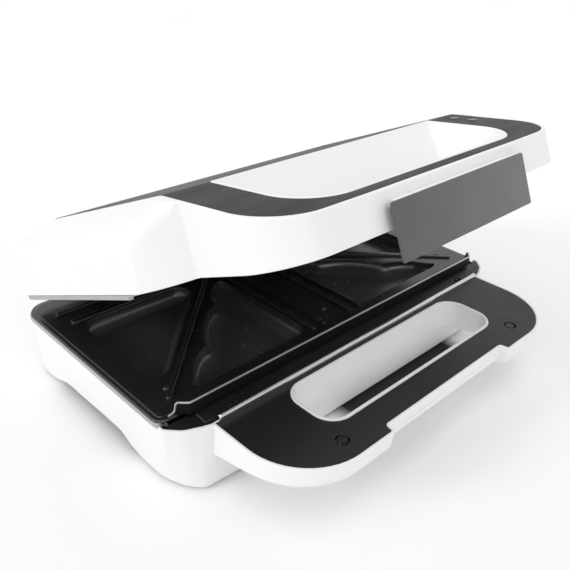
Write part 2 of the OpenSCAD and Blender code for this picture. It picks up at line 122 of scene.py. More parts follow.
def moulded(name, c0, c1, rough, spread, grain=1200.0, strength=0.05, coat=0.0, metallic=0.0, stretch=None, big=14.0):
    """moulded or cast surface: faint colour drift, uneven gloss and a fine grain"""
    m, nt, b = new_mat(name)
    v = coords(nt, 1.0)
    drift = noise(nt, v, big, 2.0)
    nt.links.new(mix(nt, remap(nt, drift, 0.3, 0.7, 0.0, 1.0), c0, c1), b.inputs["Base Color"])
    fv = coords(nt, stretch) if stretch else v
    fine = noise(nt, fv, 90.0, 4.0)
    nt.links.new(remap(nt, fine, 0.25, 0.75, rough - spread, rough + spread), b.inputs["Roughness"])
    g = noise(nt, fv, grain, 2.0)
    bump(nt, b, g, strength, 0.0002)
    b.inputs["Metallic"].default_value = metallic
    b.inputs["Coat Weight"].default_value = coat
    b.inputs["Coat Roughness"].default_value = 0.15
    return m


WHITE = moulded("white_plastic", grey(0.84), grey(0.87), 0.34, 0.04, 900.0, 0.02)
LINER = moulded("liner_plastic", grey(0.86), grey(0.89), 0.36, 0.04, 900.0, 0.02)
BLACK = moulded("black_plastic", grey(0.012), grey(0.017), 0.42, 0.06, 1500.0, 0.10)
DECK = moulded("deck_plastic", grey(0.0075), grey(0.0105), 0.42, 0.05, 1500.0, 0.06)
PANEL = moulded("dark_panel", grey(0.008), grey(0.015), 0.48, 0.08, 700.0, 0.10, stretch=(0.25, 1.0, 1.0), big=40.0)
PANEL.node_tree.nodes["Principled BSDF"].inputs["Specular IOR Level"].default_value = 0.36
PLATE = moulded("nonstick", grey(0.012), grey(0.018), 0.24, 0.05, 1800.0, 0.08)
PLATE.node_tree.nodes["Principled BSDF"].inputs["Specular IOR Level"].default_value = 0.9


def painted_light_ramp(m, axis, a, b, c0, c1):
    """painted light: base colour c0 at coordinate a, c1 at b, with a faint mottle"""
    nt = m.node_tree
    v = coords(nt, 1.0)
    s_ = nt.nodes.new("ShaderNodeSeparateXYZ")
    nt.links.new(v, s_.inputs[0])
    f = remap(nt, s_.outputs[axis], a, b, 0.0, 1.0)
    g = mix(nt, f, c0, c1)
    h = nt.nodes.new("ShaderNodeMix")
    h.data_type = "RGBA"
    h.blend_type = "MULTIPLY"
    h.inputs[0].default_value = 1.0
    nt.links.new(g, h.inputs[6])
    nt.links.new(mix(nt, remap(nt, noise(nt, v, 40.0, 3.0), 0.3, 0.7, 0.0, 1.0), grey(0.9), grey(1.0)), h.inputs[7])
    nt.links.new(h.outputs[2], nt.nodes["Principled BSDF"].inputs["Base Color"])


# painted light: the lower plate's pocket floors are painted lighter than the land, standing in for light reflected into
# them
painted_light_ramp(PLATE, "Z", 0.0416, 0.0340, grey(0.017), grey(0.060))
SILVER = moulded("silver_trim", grey(0.42), grey(0.50), 0.42, 0.05, 800.0, 0.03, metallic=0.85)
CHROME = moulded("polished_trim", grey(0.68), grey(0.76), 0.22, 0.04, 800.0, 0.01, metallic=1.0)
STEEL = moulded("zinc_steel", (0.48, 0.48, 0.50), (0.60, 0.60, 0.62), 0.34, 0.08, 1500.0, 0.10, metallic=1.0)
DSTEEL = moulded("black_steel", grey(0.04), grey(0.07), 0.34, 0.08, 1500.0, 0.10, metallic=1.0)
SHEATH = moulded("element_sheath", (0.09, 0.085, 0.08), (0.16, 0.15, 0.14), 0.45, 0.1, 1500.0, 0.10, metallic=1.0)
ALU = moulded("rolled_sheet", (0.70, 0.70, 0.72), (0.78, 0.78, 0.80), 0.30, 0.08, 600.0, 0.05, metallic=1.0)
RUBBER = moulded("rubber", grey(0.05), grey(0.07), 0.65, 0.08, 1400.0, 0.25)
CERAMIC = moulded("ceramic", (0.72, 0.68, 0.60), (0.80, 0.77, 0.70), 0.25, 0.05, 900.0, 0.03)
BRASS = moulded("brass", (0.60, 0.44, 0.20), (0.68, 0.52, 0.26), 0.30, 0.08, 900.0, 0.05, metallic=1.0)
NYLON = moulded("nylon", (0.74, 0.73, 0.68), (0.80, 0.79, 0.74), 0.42, 0.05, 900.0, 0.05)
SLEEVE = moulded("glass_braid", (0.30, 0.05, 0.04), (0.38, 0.07, 0.05), 0.75, 0.08, 2600.0, 0.60)
LENS = moulded("smoked_lens", grey(0.060), grey(0.075), 0.22, 0.03, 900.0, 0.01)
BOARD = moulded("board", (0.16, 0.11, 0.05), (0.20, 0.14, 0.07), 0.55, 0.08, 900.0, 0.05)
LAMP = moulded("lamp_glass", (0.60, 0.30, 0.20), (0.68, 0.36, 0.24), 0.10, 0.02, 900.0, 0.01)
CLIP = moulded("clip_plastic", grey(0.100), grey(0.115), 0.40, 0.04, 900.0, 0.03)
# painted light: the latch clip is painted lighter towards +x, standing in for light falling more on that side
painted_light_ramp(CLIP, "X", -0.05, 0.05, grey(0.098), grey(0.150))
# painted highlight: light metal for the thin bead that stands in for the bright line of light along the plate's lip
EDGE = moulded("lip_highlight_paint", grey(0.42), grey(0.58), 0.34, 0.08, 500.0, 0.05, metallic=0.6)
MATT = moulded("lip_coating", grey(0.006), grey(0.009), 0.55, 0.06, 1800.0, 0.08)
MATT.node_tree.nodes["Principled BSDF"].inputs["Specular IOR Level"].default_value = 0.12

BY_SLOT = {"white_shell": WHITE, "white_liner": LINER, "black_plastic": BLACK, "deck_black": DECK,
           "dark_panel": PANEL, "nonstick": PLATE, "silver_trim": SILVER, "polished_trim": CHROME,
           "element_sheath": SHEATH, "aluminium_sheet": ALU, "steel": STEEL, "dark_steel": DSTEEL,
           "rubber": RUBBER, "ceramic": CERAMIC, "brass_part": BRASS, "terminal_plastic": NYLON,
           "wire_sleeve": SLEEVE, "lens_smoke": LENS, "board": BOARD, "lamp_glass": LAMP, "latch_grey": CLIP}
for row in frame["record"]["subparts"]:
    o = nodes[row["node"]]
    o.data.materials.clear()
    o.data.materials.append(BY_SLOT[row["material_slot"]])

# ------------------------------------------------------------ mesh toolkit
# Lengths in millimetres, closed-lid coordinates: y = 0 at the handle joint,
# z = 0 at the handle deck. Outlines run counter-clockwise.
TH = math.radians(24.25)
CO, SI = math.cos(TH), math.sin(TH)
HY, HZ, DK, YM = 166.5, 13.0, 40.0, 57.25


def on_base(v):
    return (v[0] * 0.001, (v[1] - YM) * 0.001, (v[2] + DK) * 0.001)


def on_lid(v):
    dy, dz = v[1] - HY, v[2] - HZ
    return (v[0] * 0.001, (HY + dy * CO + dz * SI - YM) * 0.001, (HZ - dy * SI + dz * CO + DK) * 0.001)


def sym(half):
    return list(half) + [(-c[0],) + tuple(c[1:]) for c in reversed(half)]


def unit(v):
    return v / math.hypot(v[0], v[1])


def cross2(a, b):
    return a[0] * b[1] - a[1] * b[0]


def corner(a, b, c, r, n):
    u, v = unit(a - b), unit(c - b)
    cs = float(u @ v)
    if cs < -0.99999 or n == 0:
        return [b] * (n + 1)
    k, s = math.sqrt(max(0.0, (1 + cs) / 2)), math.sqrt((1 - cs) / 2)
    t = r * k / s
    m = b + unit(u + v) * r / s
    p, q = b + u * t - m, b + v * t - m
    w = math.acos(max(-1.0, min(1.0, float(p @ q) / (r * r))))
    g = 1 if cross2(p, q) > 0 else -1
    out = []
    for i in range(n + 1):
        f = g * w * i / n
        out.append(m + np.array([p[0] * math.cos(f) - p[1] * math.sin(f), p[0] * math.sin(f) + p[1] * math.cos(f)]))
    return out


def blend(C0, C1, t):
    return [tuple(a + (b - a) * t for a, b in zip(p[:3], q[:3])) + tuple(p[3:]) for p, q in zip(C0, C1)]


def ring(C, d=0.0, n=6, step=6.0, like=None, closed=True):
    """outline C moved inwards by d, corners (x, y, radius[, points]) rounded"""
    N = len(C)
    P = [np.array(c[:2], float) for c in C]
    L = [np.array(c[:2], float) for c in (like or C)]
    Q = []
    for i in range(N):
        a, b, c = P[i - 1], P[i], P[(i + 1) % N]
        u, v = unit(b - a), unit(c - b)
        if not closed and i == 0:
            u = v
        if not closed and i == N - 1:
            v = u
        u, v = np.array([-u[1], u[0]]), np.array([-v[1], v[0]])
        Q.append(b + d * (u + v) / (1 + float(u @ v)))
    arcs = []
    for i in range(N):
        m = C[i][3] if len(C[i]) > 3 else n
        turn = cross2(P[i] - P[i - 1], P[(i + 1) % N] - P[i])
        r = max(0.12, C[i][2] - d if turn > 0 else C[i][2] + d)
        arcs.append(corner(Q[i - 1], Q[i], Q[(i + 1) % N], r, m))
    out = []
    for i in range(N):
        out += arcs[i]
        if i == N - 1 and not closed:
            break
        j = (i + 1) % N
        k = max(1, round(float(np.linalg.norm(L[j] - L[i])) / step))
        a, b = arcs[i][-1], arcs[j][0]
        out += [a + (b - a) * q / k for q in range(1, k)]
    return np.array(out)


def inside(P, poly):
    x, y = P[:, 0], P[:, 1]
    r = np.zeros(len(P), bool)
    for i in range(len(poly)):
        x0, y0 = poly[i - 1]
        x1, y1 = poly[i]
        if y0 == y1:
            continue
        c = (y0 > y) != (y1 > y)
        r ^= c & (x < (x1 - x0) * (y - y0) / (y1 - y0) + x0)
    return r


class Part:
    """points and faces of one closed body; kind turns (u, v, w) to (x, y, z)"""

    def __init__(s, kind="z"):
        s.v, s.f, s.kind = [], [], kind

    def ring(s, xy, z):
        z = np.broadcast_to(np.asarray(z, float), (len(xy),))
        i = len(s.v)
        s.v += [(float(p[0]), float(p[1]), float(h)) for p, h in zip(xy, z)]
        return list(range(i, len(s.v)))

    def join(s, a, b, closed=True):
        n = len(a)
        for i in range(n if closed else n - 1):
            j = (i + 1) % n
            s.f.append((a[i], a[j], b[j], b[i]))

    def skin(s, rings, closed=True, loop=False):
        for a, b in zip(rings, rings[1:]):
            s.join(a, b, closed)
        if loop:
            s.join(rings[-1], rings[0], closed)

    def cap(s, outer, holes=(), zf=None, h=0.0, extra=None):
        loops = [outer] + list(holes)
        idx = [i for q in loops for i in q]
        B = np.array([s.v[i][:2] for i in idx])
        polys = [np.array([s.v[i][:2] for i in q]) for q in loops]
        edges, o = [], 0
        for q in loops:
            edges += [(o + k, o + (k + 1) % len(q)) for k in range(len(q))]
            o += len(q)
        pts = []
        if h > 0:
            lo, hi = polys[0].min(0), polys[0].max(0)
            X, Y = np.meshgrid(np.arange(lo[0] + h / 2, hi[0], h), np.arange(lo[1] + h / 2, hi[1], h))
            G = np.column_stack([X.ravel(), Y.ravel()])
            if extra is not None:
                near = np.array([np.min((extra[:, 0] - g[0]) ** 2 + (extra[:, 1] - g[1]) ** 2) for g in G]) < (0.4 * h) ** 2
                G = np.vstack([G[~near], extra])
            keep = inside(G, polys[0])
            for q in polys[1:]:
                keep &= ~inside(G, q)
            G = G[keep]
            if len(G):
                dist = np.sqrt(((G[:, None, :] - B[None, :, :]) ** 2).sum(2).min(1))
                pts = G[dist > 0.35 * min(h, 3.0)]
        co = [Vector((float(p[0]), float(p[1]))) for p in B] + [Vector((float(p[0]), float(p[1]))) for p in pts]
        res = delaunay_2d_cdt(co, edges, [], 0, 1e-6)
        V, F, O = res[0], res[2], res[3]
        m = []
        for j in range(len(V)):
            c = [k for k in O[j] if k < len(idx)]
            if c:
                m.append(idx[c[0]])
            else:
                z = float(zf(np.array([V[j][0]]), np.array([V[j][1]]))[0]) if zf else s.v[outer[0]][2]
                s.v.append((V[j][0], V[j][1], z))
                m.append(len(s.v) - 1)
        cen = np.array([[sum(V[k][0] for k in f) / 3, sum(V[k][1] for k in f) / 3] for f in F])
        ok = inside(cen, polys[0])
        for q in polys[1:]:
            ok &= ~inside(cen, q)
        for f, g in zip(F, ok):
            if g:
                s.f.append(tuple(m[k] for k in f))

    def place(s, v):
        if s.kind == "x":
            return (v[2], v[0], v[1])
        if s.kind == "y":
            return (v[0], v[2], v[1])
        return v

    def mirrored(s):
        q = Part("z")
        q.v = [(-a[0], a[1], a[2]) for a in (s.place(v) for v in s.v)]
        q.f = list(s.f)
        return q

    def flipped(s, zm):
        q = Part("z")
        q.v = [(a[0], a[1], 2 * zm - a[2]) for a in (s.place(v) for v in s.v)]
        q.f = list(s.f)
        return q


def round_levels(w0, w1, e0, e1, m=3):
    out = []
    for k in range(m + 1):
        a = math.pi / 2 * k / m
        out.append((e0 * (1 - math.sin(a)), w0 + e0 * (1 - math.cos(a))))
    for k in range(m + 1):
        a = math.pi / 2 * k / m
        out.append((e1 * (1 - math.cos(a)), w1 - e1 * (1 - math.sin(a))))
    return out


def slab(C, w0, w1, e0=0.3, e1=0.3, holes=(), n=6, step=6.0, m=3, kind="z", zf=None, h=0.0):
    """plate between w0 and w1 with rounded rims; holes are (outline, e0, e1)"""
    p = Part(kind)

    def wall(C, e0, e1, g):
        rs = [p.ring(ring(C, g * d, n, step), w) for d, w in round_levels(w0, w1, e0, e1, m)]
        p.skin(rs)
        return rs[0], rs[-1]
    a, b = wall(C, e0, e1, 1)
    hs = [wall(H[0], H[1], H[2], -1) for H in holes]
    p.cap(a, [q[0] for q in hs])
    p.cap(b, [q[1] for q in hs])
    return p


def disc(x, y, r, n=24):
    """square with its corners rounded to a circle, as an outline"""
    return [(x + a * r, y + b * r, r * 0.999, n // 4) for a, b in ((1, -1), (1, 1), (-1, 1), (-1, -1))]


def bar(x0, y0, x1, y1, w, z0, z1, e=0.8):
    """round-ended rib between two points"""
    a, b = np.array([x0, y0]), np.array([x1, y1])
    t = unit(b - a)
    s = np.array([t[1], -t[0]]) * w / 2
    C = [(*(a + s), w * 0.499, 5), (*(b + s), w * 0.499, 5), (*(b - s), w * 0.499, 5), (*(a - s), w * 0.499, 5)]
    L = float(np.linalg.norm(b - a)) + w
    return slab([(*(np.array(c[:2]) + t * (w / 2 if k in (1, 2) else -w / 2)), c[2], c[3]) for k, c in enumerate(C)],
                z0, z1, 0.02, e, step=8.0, m=4)


def sweep(path, prof, kind="z", ends=True):
    """profile (inward offset, height) carried along an open path"""
    p = Part(kind)
    n = len(path)
    T = [unit(path[min(n - 1, i + 1)] - path[max(0, i - 1)]) for i in range(n)]
    grid = []
    for i in range(n):
        nrm = np.array([-T[i][1], T[i][0]])
        if 0 < i < n - 1:
            u = unit(path[i] - path[i - 1])
            nrm = nrm / max(0.5, float(np.array([-u[1], u[0]]) @ nrm))
        q = prof if not callable(prof) else prof(i)
        grid.append(p.ring([path[i] + nrm * o for o, z in q], [z for o, z in q]))
    for a, b in zip(grid, grid[1:]):
        p.join(a, b)
    if ends:
        p.f.append(tuple(grid[0]))
        p.f.append(tuple(grid[-1]))
    return p


def smin(a, b, k):
    h = np.maximum(k - np.abs(a - b), 0)
    return np.minimum(a, b) - h * h / (4 * k)


def smooth(t):
    t = np.clip(t, 0, 1)
    return t * t * (3 - 2 * t)


def build(name, parts, place, mat, body, replaces=(), angle=38.0):
    V, F = [], []
    for p in parts:
        o = len(V)
        V += [place(p.place(v)) for v in p.v]
        F += [tuple(o + i for i in f) for f in p.f]
    me = bpy.data.meshes.new(name)
    me.from_pydata(V, [], F)
    bm = bmesh.new()
    bm.from_mesh(me)
    bmesh.ops.remove_doubles(bm, verts=bm.verts, dist=1.5e-6)
    bmesh.ops.dissolve_degenerate(bm, edges=bm.edges, dist=1e-6)
    bmesh.ops.recalc_face_normals(bm, faces=bm.faces)
    bad = sum(1 for e in bm.edges if len(e.link_faces) != 2)
    if bad:
        print("OPEN EDGES", name, bad)
    bm.to_mesh(me)
    bm.free()
    me.polygons.foreach_set("use_smooth", [True] * len(me.polygons))
    me.set_sharp_from_angle(angle=math.radians(angle))
    o = bpy.data.objects.new(name, me)
    bpy.context.scene.collection.objects.link(o)
    me.materials.append(mat)
    w = o.modifiers.new("weighted", "WEIGHTED_NORMAL")
    w.keep_sharp = True
    w.weight = 50
    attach(o, body)
    if replaces:
        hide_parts(*replaces)
    return o


# ----------------------------------------------------------- lid, outlines
LID_B = sym([(50, -58.2, 100, 3), (112.0, -57.2, 28, 12), (112.2, -22, 60, 3), (112.4, -0.3, 1.5, 3),
             (122, 3.2, 30, 3), (129, 8, 20, 3), (135, 14, 3, 4), (135, 40, 0, 0), (135, 153, 13, 8)])
LID_T = sym([(50, -57.6, 100, 3), (111.8, -56.7, 28, 12), (112.0, -22, 60, 3), (112.3, -0.3, 1.5, 3),
             (122, 2.4, 30, 3), (129, 5.6, 20, 3), (134.4, 9.5, 5, 4), (134.2, 40, 0, 0), (133.4, 151.4, 12, 8)])
PANEL_C = sym([(60, -55.8, 120, 3), (110.2, -54.9, 26.4, 12), (110.5, -21.5, 60, 3), (111.1, 6, 60, 3), (112, 129.5, 3, 4)])
MOUTH_T = sym([(84.6, -49.3, 25, 12), (84.9, -18, 60, 3), (84.9, 12.9, 1.2, 6)])
MOUTH_B = sym([(73.5, -38.8, 13, 12), (73.6, -18, 60, 3), (73.5, -3, 13, 6)])


def lid_h(x, y):
    z = smin(42.0 + 0 * x, 42 - 0.2862 * (12.6 - y), 0.25)
    u = np.abs(x) - 112.0
    z = smin(z, 42 - 0.525 * u + 0.7 * np.sin(np.pi * np.clip(u / 23.0, 0, 1)), 0.7)
    v = y - 130.0
    return smin(z, 42 - 0.52 * v + 0.7 * np.sin(np.pi * np.clip(v / 22.5, 0, 1)), 0.7)


def offsets(C, like, ds, **k):
    """positions of every column of a ring at given inward offsets"""
    D = [0.0, 0.5, 1.0, 2.0, 3.0, 4.0, 5.5, 7.0, 9.0, 11.0]
    S = np.array([ring(C, d, like=like, **k) for d in D])
    ds = np.asarray(ds, float)
    out = np.zeros((len(ds), 2))
    for i, d in enumerate(ds):
        j = min(len(D) - 2, max(0, int(np.searchsorted(D, d)) - 1))
        t = (d - D[j]) / (D[j + 1] - D[j])
        out[i] = S[j, i] * (1 - t) + S[j + 1, i] * t
    return out


def lid_shell():
    p = Part()
    K = dict(step=3.0)
    B, T = ring(LID_B, **K), ring(LID_T, like=LID_B, **K)

    def at(z, d=0.0):
        t = (z - 4.2) / 38.8
        if np.ndim(z) == 0 and d:
            return ring(blend(LID_B, LID_T, t), d, like=LID_B, **K)
        return B + (T - B) * (np.asarray(t).reshape(-1, 1) if np.ndim(t) else t)
    zx = np.full(len(B), 30.0)
    for _ in range(6):
        xy = at(zx)
        zx = lid_h(xy[:, 0], xy[:, 1])
    ax, y = np.abs(xy[:, 0]), xy[:, 1]
    s = 0.8 + 7.7 * smooth((ax - 112.6) / 7.0) * (1 - smooth((y - 14) / 70.0)) + 2.6 * smooth((y - 14) / 70.0)
    s = np.where((ax < 112.6) & (y < 6), 0.8, s)
    top = offsets(blend(LID_B, LID_T, 0.75), LID_B, s, **K)
    # carry the inset from the mean outline to the true one
    top = top + (xy - ring(blend(LID_B, LID_T, 0.75), 0, like=LID_B, **K))
    zt = lid_h(top[:, 0], top[:, 1])
    rs = [p.ring(at(4.2, 2.6), 4.2), p.ring(at(4.2, 0.45), 4.2), p.ring(at(4.2, 0.12), 4.34), p.ring(at(4.65), 4.65)]
    zw = zx - s
    for f in (0.25, 0.5, 0.75, 1.0):
        z = 4.65 + (zw - 4.65) * f
        rs.append(p.ring(at(z), z))
    w = at(zw)
    for k in range(1, 9):
        t = k / 8
        a, b, c = (1 - t) ** 2, 2 * t * (1 - t), t * t
        q = w * a + xy * b + top * c
        rs.append(p.ring(q, zw * a + zx * b + zt * c))
    p.skin(rs)
    # recess for the panel
    rim = [p.ring(ring(PANEL_C, -0.35, step=3.0), 0), p.ring(ring(PANEL_C, -0.16, step=3.0), 0),
           p.ring(ring(PANEL_C, -0.10, step=3.0), 0), p.ring(ring(PANEL_C, -0.10, step=3.0), 0)]
    for q, dz in zip(rim, (0, -0.06, -0.3, -1.35)):
        for i in q:
            x_, y_, _ = p.v[i]
            p.v[i] = (x_, y_, float(lid_h(np.array([x_]), np.array([y_]))[0]) + dz)
    p.skin(rim)
    p.cap(rs[-1], [rim[0]], lid_h, 4.0)
    # skin around the mouth
    mt, mb = ring(MOUTH_T, -0.15, step=4.0), ring(MOUTH_B, -1.9, like=MOUTH_T, step=4.0)
    ht = lid_h(mt[:, 0], mt[:, 1])
    a0 = p.ring(mt, ht - 1.35)
    a1 = p.ring(mb, 7.6)
    ot, ob = ring(MOUTH_T, -1.9, step=4.0), ring(MOUTH_B, -3.6, like=MOUTH_T, step=4.0)
    b1 = p.ring(ob, 7.6)
    b0 = p.ring(ot, lid_h(ot[:, 0], ot[:, 1]) - 3.2)
    p.cap(rim[-1], [a0], lambda x, y: lid_h(x, y) - 1.35, 10.0)
    p.skin([a0, a1, b1, b0])
    inn = at(4.2, 2.6)
    zi = np.minimum(lid_h(inn[:, 0], inn[:, 1]) - 3.4 - 0.55 * s, 60)
    it = p.ring(inn, zi)
    p.join(rs[0], it)
    p.cap(it, [b0], lambda x, y: lid_h(x, y) - 3.4, 10.0)
    parts = [p]
    # hinge knuckles
    kn = [(HY - 2, HZ - 7.1, 0.5, 0), (HY, HZ - 7.4, 0.5, 0), (HY + 7.4, HZ - 7.4, 7.38, 6), (HY + 7.4, HZ + 7.4, 7.38, 6),
          (HY - 1, HZ + 7.4, 3, 3), (150, 25.5, 0.5, 0), (150, 8.4, 0.5, 0)]
    k1 = slab(kn, 78, 87.5, 0.6, 0.6, [(disc(HY, HZ, 2.55), 0.3, 0.3)], kind="x", step=5.0)
    parts += [k1, k1.mirrored()]
    # latch lugs
    lg = [(-61.9, 13.4, 1.68, 5), (-56.0, 13.4, 0.3, 2), (-56.0, 16.8, 0.3, 2), (-61.9, 16.8, 1.68, 5)]
    l1 = slab(lg, 36, 42, 0.4, 0.4, kind="x", step=4.0)
    parts += [l1, l1.mirrored()]
    return parts


def panel():
    p = Part()

    def lev(C, g, items, **k):
        out = []
        for d, dz in items:
            r = ring(C, g * d, **k)
            out.append(p.ring(r, lid_h(r[:, 0], r[:, 1]) + dz))
        return out
    prof = [(0.26, 0.0), (0.08, -0.05), (0.0, -0.26), (0.0, -1.2)]
    o = lev(PANEL_C, 1, prof, step=3.0)
    h = lev(MOUTH_T, -1, prof, step=4.0)
    p.skin(o)
    p.skin(h)
    rows = np.array([(x, y) for y in (11.6, 12.6, 13.6) for x in np.arange(-110, 110.1, 2.75)])
    p.cap(o[0], [h[0]], lid_h, 5.0, rows)
    p.cap(o[-1], [h[-1]], lambda x, y: lid_h(x, y) - 1.2, 9.0)
    return [p]


def liner():
    p = Part()
    T0, B0 = MOUTH_T, MOUTH_B

    def col(d, f, dz=0.0, bulge=0.0):
        a, b = ring(T0, d, step=4.0), ring(B0, d, like=T0, step=4.0)
        za = lid_h(a[:, 0], a[:, 1]) + dz
        g = f + bulge * f * (1 - f)
        return p.ring(a + (b - a) * g, za + (4.5 - za) * f)
    rs = [col(1.75, f, -0.5, 0.18) for f in (1.0, 0.86, 0.72, 0.58, 0.44, 0.3, 0.18, 0.08, 0.0)]
    for d, dz in ((1.62, -0.1), (1.35, 0.2), (0.95, 0.36), (0.55, 0.2), (0.22, -0.1), (0.12, -0.5)):
        rs.append(col(d, 0.0, dz))
    rs += [col(0.12, f, -0.5, 0.18) for f in (0.08, 0.18, 0.3, 0.44, 0.58, 0.72, 0.86, 1.0)]
    p.skin(rs, loop=True)
    return [p]


def lid_cover():
    o = sym([(50, -54.9, 100, 3), (108.6, -53.9, 25, 12), (108.9, -22, 60, 3), (109.2, 2.3, 3, 3), (121, 6.4, 0.8, 3), (121, 8.2, 0.3, 1)])
    g = sym([(77.9, -43.2, 16.5, 8), (77.9, 1.4, 16.5, 8)])
    h = [(g, 0.3, 0.3)] + [(disc(s * 98, -20, 1.7), 0.1, 0.1) for s in (1, -1)]
    return [slab(o, 4.9, 6.9, 0.5, 0.2, h)]


build("lid_shell_body", lid_shell(), on_lid, WHITE, "lid", ("lid_shell",))
build("lid_grip_cover", lid_cover(), on_lid, BLACK, "lid", ("lid_deck",))
build("lid_panel", panel(), on_lid, PANEL, "lid", ("lid_inlay",))
build("lid_mouth", liner(), on_lid, LINER, "lid", ("lid_handle_liner",))

# ------------------------------------------------------------- lower casing
BODY_T = sym([(95, -4.8, 20, 2), (114, -0.2, 1.2, 4), (119.5, 1.6, 20, 3), (128, 5.2, 12, 3), (134.9, 12.4, 4, 5),
              (134.9, 15.6, 0, 0), (134.9, 15.9, 0, 0), (135, 60, 0, 0), (135, 153, 13, 8)])
BODY_B = sym([(95, -1.4, 20, 2), (113.2, 0.1, 20, 4), (118.8, 0.1, 6, 3), (125.4, 7.2, 20, 3), (129.4, 17.6, 12, 5),
              (130.3, 22, 0, 0), (130.5, 23, 0, 0), (131.6, 60, 0, 0), (131.5, 149.5, 11, 8)])
HAND_T = sym([(51.2, -54.9, 0.9, 3), (52.2, -60, 1.3, 3), (114, -60, 37.3, 14), (114, 1.5, 0, 0)])
HAND_B = sym([(50.4, -54.2, 1.2, 3), (53.0, -58.9, 2.0, 3), (113.0, -58.9, 37.3, 14), (114.6, 1.5, 0, 0)])
GRIP_T = sym([(71.7, -36.9, 10.8, 10), (71.7, -4.9, 10.8, 10)])
GRIP_B = sym([(71.4, -36.6, 10.8, 10), (71.4, -3.16, 10.8, 10)])


def under(y):
    return np.where(y < -30, -12.5 - 1.5 * (y + 60) / 30.0, -14 - 5.5 * (y + 30) / 28.6)


def arch(y):
    Y = [-5, 18, 23.6, 32, 39.1, 44, 48.4, 51.5, 54.5, 58, 74.2, 93.8, 105.3, 112, 117.7, 124, 131, 160]
    Z = [-38, -38, -38, -37.7, -37, -35.7, -33.8, -31.3, -29.6, -29.1, -29.4, -30.6, -30.9, -31.6, -33.5, -36.2, -38, -38]
    return np.interp(y, Y, Z)


def base_body():
    p = Part()
    K = dict(step=3.0)
    A, B = ring(BODY_T, **K), ring(BODY_B, like=BODY_T, **K)
    y = A[:, 1]
    front = (np.abs(A[:, 0]) < 112.5) & (y < 3)
    zt = np.where(y > 15.75, -2.6, 0.0)
    zt = np.where(front, -2.3, zt)
    low = (A + B) / 2
    zb = np.where(np.abs(B[:, 0]) > 129.5, arch(B[:, 1]), -38.0)

    def at(z, d=0.0):
        t = np.asarray(-z / 38.0)
        if d:
            S0, S1 = ring(BODY_T, d, **K), ring(BODY_B, d, like=BODY_T, **K)
        else:
            S0, S1 = A, B
        t = t.reshape(-1, 1) if t.ndim else t
        return S0 + (S1 - S0) * t
    rs = [p.ring(at(zt - 1.6, 1.32), zt - 1.6), p.ring(at(zt, 1.32), zt - 0.12), p.ring(at(zt, 1.15), zt), p.ring(at(zt, 0.5), zt),
          p.ring(at(zt, 0.15), zt - 0.14), p.ring(at(zt - 0.5), zt - 0.5)]
    for f in (0.12, 0.3, 0.5, 0.7, 0.86, 0.96):
        z = zt - 0.5 + (zb + 0.6 - zt + 0.5) * f
        rs.append(p.ring(at(z), z))
    for d, dz in ((0.0, 0.6), (0.12, 0.22), (0.45, 0.0), (2.2, 0.0)):
        rs.append(p.ring(at(zb + dz, d), zb + dz))
    rs.append(p.ring(at(zb + 3, 2.6), zb + 2))
    rs.append(p.ring(at(zt - 3.0, 2.6), zt - 3.0))
    p.skin(rs, loop=True)
    return p


def base_handle():
    p = Part()
    K = dict(step=3.0)
    A, B = ring(HAND_T, **K), ring(HAND_B, like=HAND_T, **K)

    def at(z, d=0.0):
        t = np.asarray(-z / 12.5)
        if d:
            S0, S1 = ring(HAND_T, d, **K), ring(HAND_B, d, like=HAND_T, **K)
        else:
            S0, S1 = A, B
        t = t.reshape(-1, 1) if t.ndim else t
        return S0 + (S1 - S0) * t
    R = 3.2
    zu = under(A[:, 1])
    rs = [p.ring(at(-2.2, 1.3), -2.2), p.ring(at(-0.2, 1.3), -0.2), p.ring(at(0, 1.12), 0), p.ring(at(0, 0.5), 0),
          p.ring(at(0, 0.15), -0.14), p.ring(at(-0.5), -0.5)]
    zf = zu + R
    for f in (0.33, 0.66, 1.0):
        z = -0.5 + (zf + 0.5) * f
        rs.append(p.ring(at(z), z))
    for k in range(1, 7):
        a = math.pi / 2 * k / 6
        z = zu + R * (1 - math.sin(a))
        rs.append(p.ring(at(z, max(0.001, R * (1 - math.cos(a)))), z))
    p.skin(rs)
    # hand opening
    ga, gb = ring(GRIP_T, step=4.0), ring(GRIP_B, like=GRIP_T, step=4.0)

    def hole(z, d):
        t = np.asarray(-z / 19.5)
        S0, S1 = ring(GRIP_T, d, step=4.0), ring(GRIP_B, d, like=GRIP_T, step=4.0)
        t = t.reshape(-1, 1) if t.ndim else t
        return S0 + (S1 - S0) * t
    zg = under(ga[:, 1])
    hs = [p.ring(hole(-2.2, -2.0), -2.2), p.ring(hole(0, -2.0), 0.1), p.ring(hole(0, -1.85), 0.45), p.ring(hole(0, -1.5), 0.62),
          p.ring(hole(0, -0.9), 0.62), p.ring(hole(0, -0.35), 0.5), p.ring(hole(0, -0.08), 0.2), p.ring(hole(-0.3, 0), -0.3)]
    for f in (0.4, 0.8):
        z = -0.3 + (zg + 0.5) * f
        hs.append(p.ring(hole(z, 0), z))
    for k in range(0, 5):
        a = math.pi / 2 * k / 4
        z = zg + 0.4 * (1 - math.sin(a))
        hs.append(p.ring(hole(z, -max(0.001, 0.4 * (1 - math.cos(a)))), z))
    p.skin(hs)
    p.cap(rs[0], [hs[0]])
    p.cap(rs[-1], [hs[-1]], lambda x, y: under(y), 5.0)
    return p


